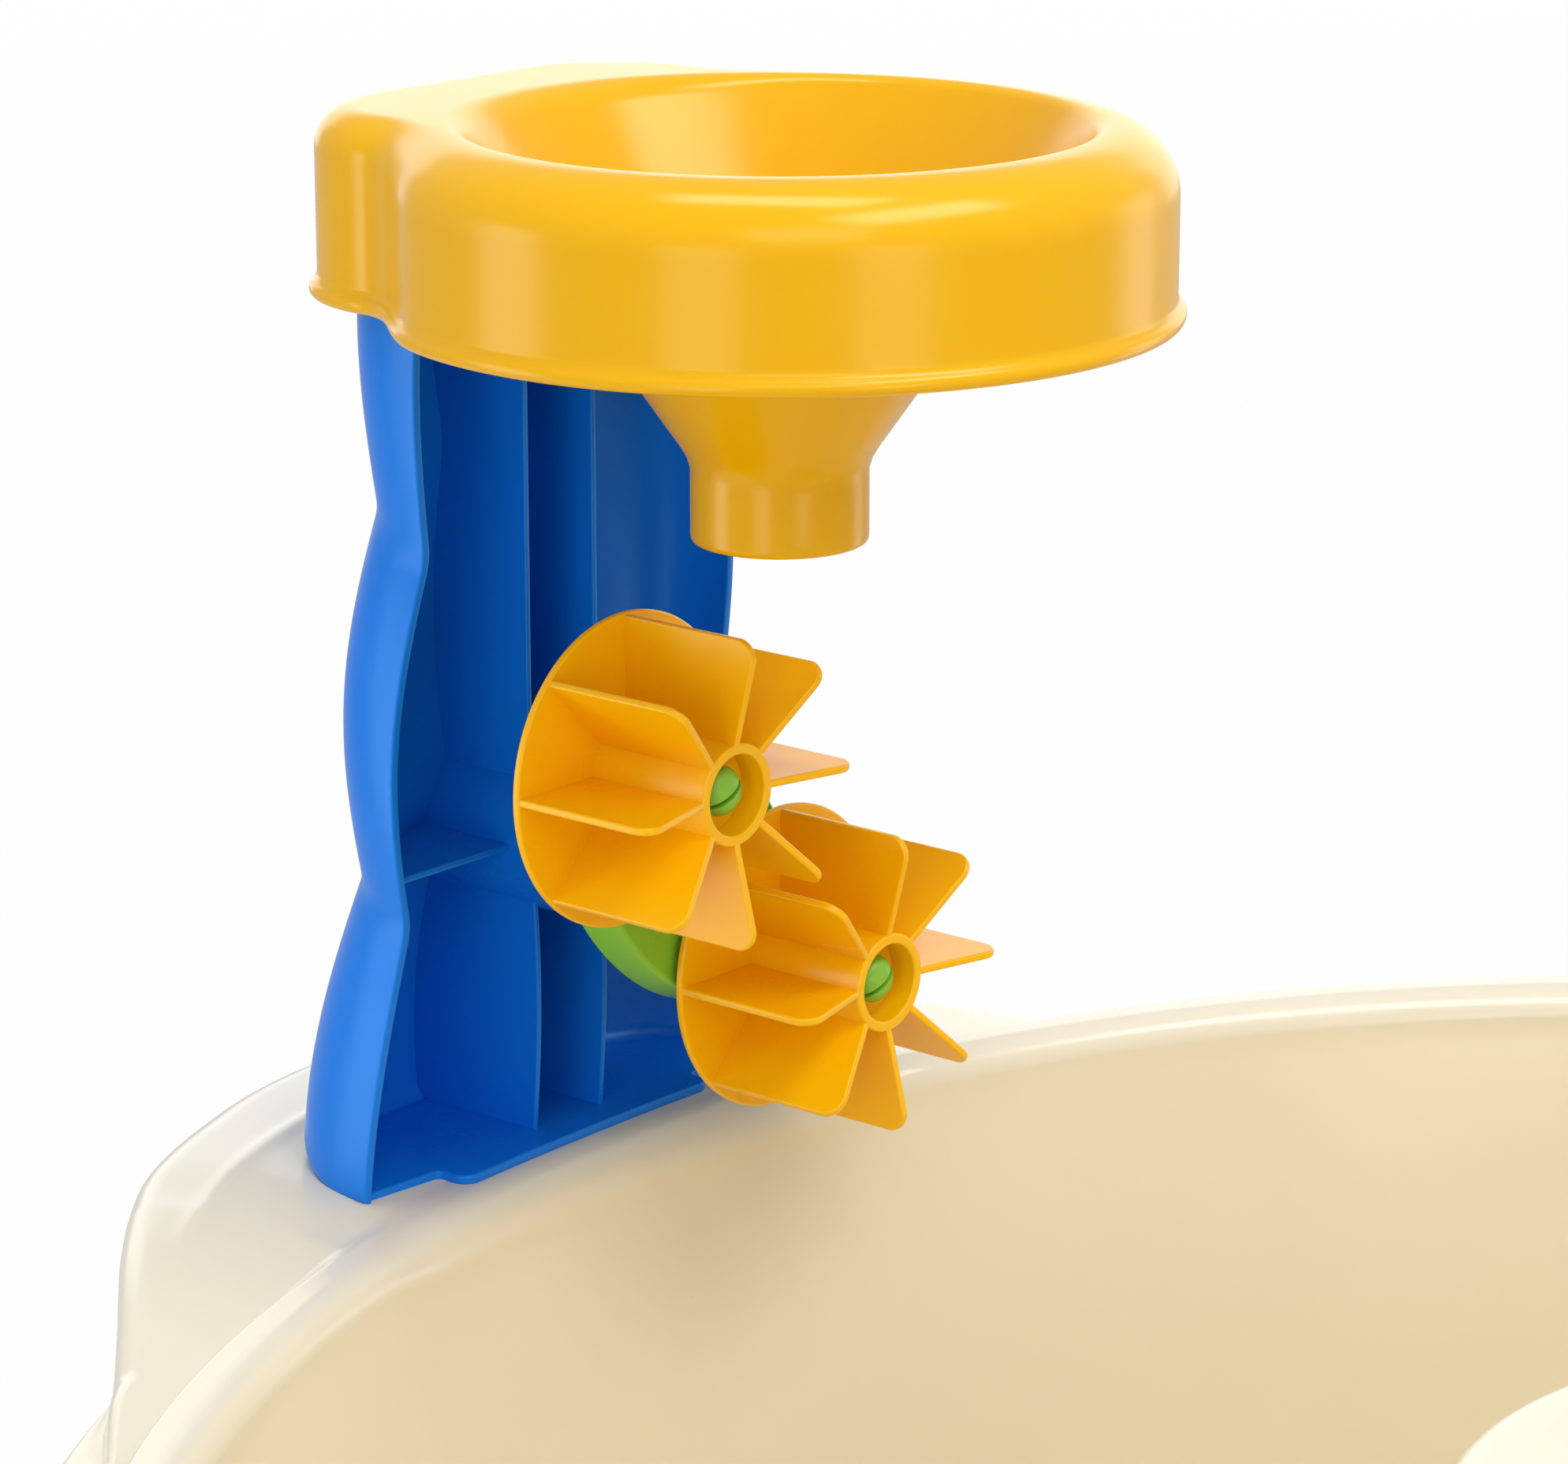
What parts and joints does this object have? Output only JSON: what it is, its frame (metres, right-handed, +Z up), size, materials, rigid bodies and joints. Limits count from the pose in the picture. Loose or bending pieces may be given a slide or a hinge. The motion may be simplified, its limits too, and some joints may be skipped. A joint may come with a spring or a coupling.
{
  "type": "water table",
  "caption": "Round water play table on legs, with a central island and a twisted tower that pours water from a funnel over paddle wheels on a turning carrier.",
  "frame": {"origin": "on the ground, at the middle of the table's box seen from above", "axes": "+X from the tower toward the open side of the basin, +Y away from the side that the picture was taken from, +Z up"},
  "size_m": [0.8238, 0.74, 0.6752],
  "materials": {
    "cream_plastic": "satin, slightly waxy rotomoulded polyethylene",
    "blue_plastic": "semi-gloss moulded polypropylene",
    "yellow_plastic": "gloss moulded polypropylene",
    "amber_plastic": "semi-gloss moulded polypropylene",
    "green_plastic": "semi-gloss moulded polypropylene",
    "grey_rubber": "matt",
    "screw_steel": "zinc plated"
  },
  "bodies": {
    "table": {"basin": "cream_plastic", "tower": "blue_plastic", "funnel": "yellow_plastic", "front_left_leg": "cream_plastic", "front_right_leg": "cream_plastic", "back_left_leg": "cream_plastic", "back_right_leg": "cream_plastic", "front_left_foot": "grey_rubber", "front_right_foot": "grey_rubber", "back_left_foot": "grey_rubber", "back_right_foot": "grey_rubber", "leg_screws": "screw_steel", "tower_screws": "screw_steel", "funnel_screws": "screw_steel", "drain_seal": "grey_rubber"},
    "carrier": {"wheel_carrier": "green_plastic", "carrier_pin": "green_plastic", "upper_wheel_pin": "green_plastic", "lower_wheel_pin": "green_plastic"},
    "upper_wheel": {"upper_wheel": "amber_plastic"},
    "lower_wheel": {"lower_wheel": "amber_plastic"},
    "plug": {"drain_plug": "green_plastic"}
  },
  "joints": [
    {"name": "carrier_spin", "type": "hinge", "parent": "table", "child": "carrier", "pos_m": [-0.2901, 0.01, 0.503], "axis": [1, 0, 0], "continuous": true},
    {"name": "upper_wheel_spin", "type": "hinge", "parent": "carrier", "child": "upper_wheel", "pos_m": [-0.276, -0.01675, 0.53138], "axis": [1, 0, 0], "continuous": true},
    {"name": "lower_wheel_spin", "type": "hinge", "parent": "carrier", "child": "lower_wheel", "pos_m": [-0.276, 0.03675, 0.47462], "axis": [1, 0, 0], "continuous": true},
    {"name": "drain_pull", "type": "slide", "parent": "table", "child": "plug", "axis": [0, 0, 1], "range_m": [0, 0.03]}
  ]
}
